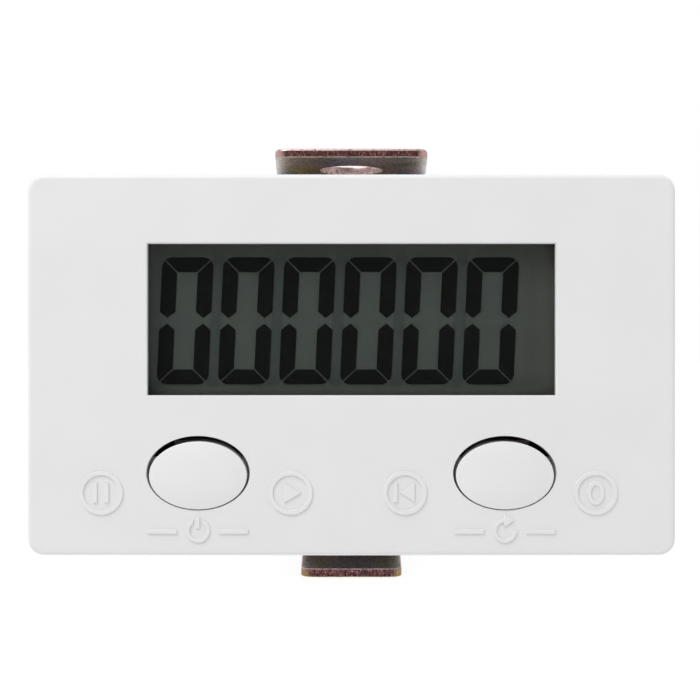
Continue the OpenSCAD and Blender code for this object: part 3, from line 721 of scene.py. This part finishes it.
def make_button(node):
    """An oval cap: a smooth dome with a soft rim, and the stem and ears of the CAD behind it."""
    low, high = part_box(node)
    half_w, half_h = 4.67, 3.24
    middle_x = (low.x + high.x) / 2 / MM
    middle_z = high.z / MM - half_h
    top = FRONT_Y / MM - 0.1                              # the rim stands 0.1 over the bezel
    dome = (top * MM - low.y) / MM
    soft = 0.09                                           # the rim's radius
    back, wall = 0.25, 0.9                                # the skirt's rear end and thickness
    around, over = 96, 24                                 # steps round the rim and over the dome
    stem_r, stem_chamfer = 1.3, 0.08
    ear_in, ear_out, ear_depth, ear_height, ear_y = 4.1, 5.9, 0.8, 3.2, -0.15

    def ring(y, inset, share=1.0):
        return [Vector((middle_x + (half_w - inset) * share * math.cos(a), y,
                        middle_z + (half_h - inset) * share * math.sin(a))) * MM
                for a in (2 * math.pi * k / around for k in range(around))]

    bm = bmesh.new()
    rings = [ring(top + 1.0, wall, 0.02), ring(top + 1.0, wall + 0.08), ring(top + 1.2, wall)]
    rings += [ring(back, wall), ring(back, 0.12), ring(back - 0.12, 0.0), ring(top + soft, 0.0)]
    rings += [ring(top + soft - soft * math.sin(a), soft * (1 - math.cos(a)))
              for a in (math.radians(d) for d in (22.5, 45, 67.5, 90))]
    for k in range(1, over):
        share = 1 - k / over
        rings.append(ring(top - (dome - 0.004) * (1 - share * share), soft * share, share))
    loft(bm, rings)
    stem_end = high.y / MM
    turned(bm, (middle_x, middle_z), (
        (top + 0.9, stem_r), (stem_end - stem_chamfer, stem_r), (stem_end, stem_r - stem_chamfer)), sides=40)
    for side in (-1, 1):
        ear = bmesh.ops.create_cube(bm, size=1)["verts"]
        centre = Vector((middle_x + side * (ear_out + ear_in) / 2, ear_y, middle_z))
        bmesh.ops.scale(bm, vec=Vector((ear_out - ear_in, ear_depth, ear_height)) * MM, verts=ear)
        bmesh.ops.translate(bm, vec=centre * MM, verts=ear)
    make_piece(node + "_finished", bm, node, crease=50)


# ---------------------------------------------------------------- the bracket
def make_bracket():
    """The steel strip: rims rolled over where they face up, crisp elsewhere, and torn edges between them."""
    bm = cad_copy("mounting_bracket")
    bend = 1.5 * MM                                       # the inner radius of its bends
    hole_reach = 3.6 * MM
    tip = 2 * MM
    middle_z = (BRACKET_LOW.z + BRACKET_HIGH.z) / 2
    arm_z = (BRACKET_HIGH.z - BRACKET_LOW.z) / 2 - STRIP
    bend_start_y = BRACKET_HIGH.y - STRIP - bend
    bend_start_z = arm_z - bend
    faces, sheared, rolled, crisp = range(4)              # the places in the piece's list of materials

    def on_arm(p):
        return p.y < bend_start_y

    def on_base(p):
        return abs(p.z - middle_z) < bend_start_z and p.y > bend_start_y

    def in_hole(p):
        return p.y > BRACKET_LOW.y + tip and abs(p.x) < hole_reach and p.z > middle_z + bend_start_z

    def outside(p):
        return near(abs(p.z - middle_z), arm_z + STRIP) or near(p.y, BRACKET_HIGH.y)

    def faces_up(p):
        """The rims outside the upper arm, round the bends and the base, and inside the lower arm."""
        on_lower_arm = p.z <= BRACKET_LOW.z + 2 * STRIP
        return on_arm(p) and near(middle_z - p.z, arm_z) if on_lower_arm else outside(p)

    for face in bm.faces:
        centre, normal = face.calc_center_median(), face.normal
        across = normal.z if on_arm(centre) else normal.y if on_base(centre) else 1 - abs(normal.x)
        if abs(across) >= 0.5:
            face.material_index = faces
        else:
            face.material_index = rolled if in_hole(centre) and on_arm(centre) else sheared

    round_edges(
        bm, 0.24, lambda p: faces_up(p) and outside(p) and not in_hole(p), segments=4, material=rolled)
    round_edges(bm, 0.12, lambda p: faces_up(p) and not in_hole(p), material=rolled)
    round_edges(bm, 0.07, lambda p: not faces_up(p) or in_hole(p), segments=2, material=crisp)
    make_piece("bracket_finished", bm, "mounting_bracket", [
        MATERIALS[name] for name in ("yellow_zinc_steel", "sheared_edges", "rolled_rim", "crisp_rim")])


# ---------------------------------------------------------------- threaded parts
def cut_shank(bm, centre, seat, radius):
    """Takes a screw's plain shank off in front of its seat, and closes its head there."""
    def on_shank(p):
        from_axis = math.hypot(p.x / MM - centre[0], p.z / MM - centre[1])
        return p.y < (seat - 0.01) * MM and from_axis < radius + 0.02

    doomed = [vert for vert in bm.verts if on_shank(vert.co)]
    bmesh.ops.delete(bm, geom=doomed, context="VERTS")
    bmesh.ops.holes_fill(bm, edges=[e for e in bm.edges if e.is_boundary])
    bm.normal_update()


def make_terminal_screw(node):
    """A pan-head M3 screw with a cross recess and a real helical thread."""
    low, high = (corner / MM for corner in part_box(node))
    centre = ((low.x + high.x) / 2, (low.z + high.z) / 2)
    radius, pitch, head_height = 1.5, 0.5, 1.9
    inside_head_rim = 2.5
    seat = high.y - head_height
    bm = cad_copy(node)
    cut_shank(bm, centre, seat, radius)

    def head_rim(p):
        from_axis = math.hypot(p.x / MM - centre[0], p.z / MM - centre[1])
        return near(p.y, high.y * MM) and from_axis > inside_head_rim

    round_edges(bm, 0.75, head_rim, segments=6)
    round_edges(bm, 0.08, lambda p: near(p.y, seat * MM), segments=2)
    threaded_rod(bm, centre, low.y, seat + 0.2, radius, pitch)
    make_piece(node + "_finished", bm, node)


def make_stud():
    """The M4 stud: a hex head kept in the case and a thread that runs out through the bracket."""
    low, high = (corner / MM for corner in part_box("clamp_stud"))
    centre = ((low.x + high.x) / 2, (low.z + high.z) / 2)
    corner_r, head_height = 4.02, 1.8
    chamfer_width, chamfer_height = 0.33, 0.175
    radius, pitch = 1.95, 0.7
    thread_start = low.y + 1.7                            # a little inside the head

    def hexagon(y, corner_r):
        return [circle(centre, corner_r, math.radians(60 * k), y) for k in range(6)]

    bm = bmesh.new()
    loft(bm, [hexagon(low.y, corner_r - chamfer_width), hexagon(low.y + chamfer_height, corner_r),
              hexagon(low.y + head_height, corner_r)])
    threaded_rod(bm, centre, thread_start, high.y, radius, pitch)
    make_piece("clamp_stud_finished", bm, "clamp_stud", crease=32)


def make_thumb_nut():
    """A turned and knurled thumb nut, chamfered at each rim."""
    low, high = (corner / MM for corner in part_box("thumb_nut"))
    centre = ((low.x + high.x) / 2, (low.z + high.z) / 2)
    front, back = low.y, high.y
    rim = 6.0
    grooves, per_groove, groove_depth = 36, 8, 0.3
    crest = 0.35                                          # the share of each groove's pitch that stays round

    def ring(y, radius, knurl=0.0, limit=rim):
        """A circle, or with knurl a knurled one, cut back to limit."""
        points = []
        for k in range(grooves * per_groove):
            angle = 2 * math.pi * k / (grooves * per_groove)
            off = abs((k % per_groove) / per_groove - 0.5) * 2                # 0 on a crest, 1 in a groove
            reach = min(radius - knurl * max(0.0, (off - crest) / (1 - crest)), limit)
            points.append(circle(centre, reach, angle, y))
        return points

    bm = bmesh.new()
    loft(bm, [
        ring(front + 0.3, 2.03), ring(front, 2.3), ring(front, 3.8), ring(front + 0.2, 4.0),
        ring(front + 1.45, 4.0), ring(front + 1.6, 4.15), ring(front + 1.6, rim, groove_depth, rim - 0.35),
        ring(front + 1.95, rim, groove_depth), ring(back - 0.45, rim, groove_depth),
        ring(back, rim, groove_depth, rim - 0.45), ring(back, 3.6), ring(back - 0.35, 3.2),
        ring(back - 0.35, 2.5), ring(back - 0.1, 2.4), ring(back - 0.35, 2.03)], closed=True)
    make_piece("thumb_nut_finished", bm, "thumb_nut", crease=28)


# ---------------------------------------------------------------- the battery
def make_battery():
    """The cell, with its crimped can and its plus end's nub, and the printed sleeve round it."""
    low, high = (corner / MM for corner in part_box("battery_cell"))
    centre = ((low.y + high.y) / 2, (low.z + high.z) / 2)
    left, nub, shoulder = low.x, high.x, 22.7
    bm = bmesh.new()
    turned(bm, centre, (
        (left + 0.12, 3.6), (left + 0.12, 3.8), (left, 4.0), (left, 4.75), (left + 0.09, 4.97),
        (left + 0.3, 5.04), (shoulder - 0.5, 5.04), (shoulder - 0.15, 4.9), (shoulder, 4.6), (shoulder, 3.9),
        (shoulder - 0.2, 3.5), (shoulder - 0.2, 2.1), (shoulder, 1.9), (nub - 0.15, 1.9), (nub - 0.04, 1.82),
        (nub, 1.65)), along="X")
    make_piece("battery_cell_finished", bm, "battery_cell")

    low, high = (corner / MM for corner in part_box("battery_sleeve"))
    inner, edge, outer, soft = 5.06, 5.1, 5.145, 0.08
    bm = bmesh.new()
    turned(bm, centre, (
        (low.x, inner), (low.x, edge), (low.x + soft, outer), (high.x - soft, outer), (high.x, edge),
        (high.x, inner)), closed=True, along="X")
    make_piece("battery_sleeve_finished", bm, "battery_sleeve")


def make_spring():
    """The cell's negative spring: a conical coil of round wire."""
    low, high = (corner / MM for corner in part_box("battery_spring"))
    cell_low, cell_high = (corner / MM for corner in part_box("battery_cell"))
    centre_y, centre_z = (cell_low.y + cell_high.y) / 2, (cell_low.z + cell_high.z) / 2
    wire, turns, steps = 0.25, 3, 40
    wide, narrow = 3.8, 2.0                               # the coil's radius at its foot and at the cell
    start, travel = low.x + wire, high.x - low.x - 2 * wire
    path = []
    for i in range(turns * steps + 1):
        share = i / (turns * steps)
        angle, radius = 2 * math.pi * i / steps, wide - (wide - narrow) * share
        path.append(Vector((start + travel * share, centre_y + radius * math.cos(angle),
                            centre_z + radius * math.sin(angle))))
    bm = bmesh.new()
    tube(bm, path, wire - 0.005)
    make_piece("battery_spring_finished", bm, "battery_spring")


make_front_case()
make_rear_cover()
make_button("power_button")
make_button("reset_button")
make_bracket()
make_stud()
make_thumb_nut()
make_terminal_screw("terminal_screw_left")
make_terminal_screw("terminal_screw_right")
make_battery()
make_spring()
for name, radius in (
        ("battery_door", 0.15), ("cover_screws", 0.12), ("board_screws", 0.12),
        ("terminal_washer_left", 0.12), ("terminal_washer_right", 0.12), ("flat_washer", 0.10),
        ("lock_washer", 0.10), ("terminal_inserts", 0.10), ("lcd_holder", 0.10), ("circuit_board", 0.06),
        ("switch_bases", 0.12), ("switch_covers", 0.08), ("power_switch_plunger", 0.15),
        ("reset_switch_plunger", 0.15), ("quartz_crystal", 0.10), ("chip_capacitors", 0.06),
        ("chip_resistors", 0.05), ("battery_contacts", 0.08), ("switch_pins", 0.05), ("zebra_strips", 0.08),
        ("lcd_edge_seal", 0.01)):
    rounded(name, radius, clamp=True)

# The nodes that no piece stands for keep their CAD mesh
for name, node in frame["nodes"].items():
    node.material_slots[0].material = finish_of(name)
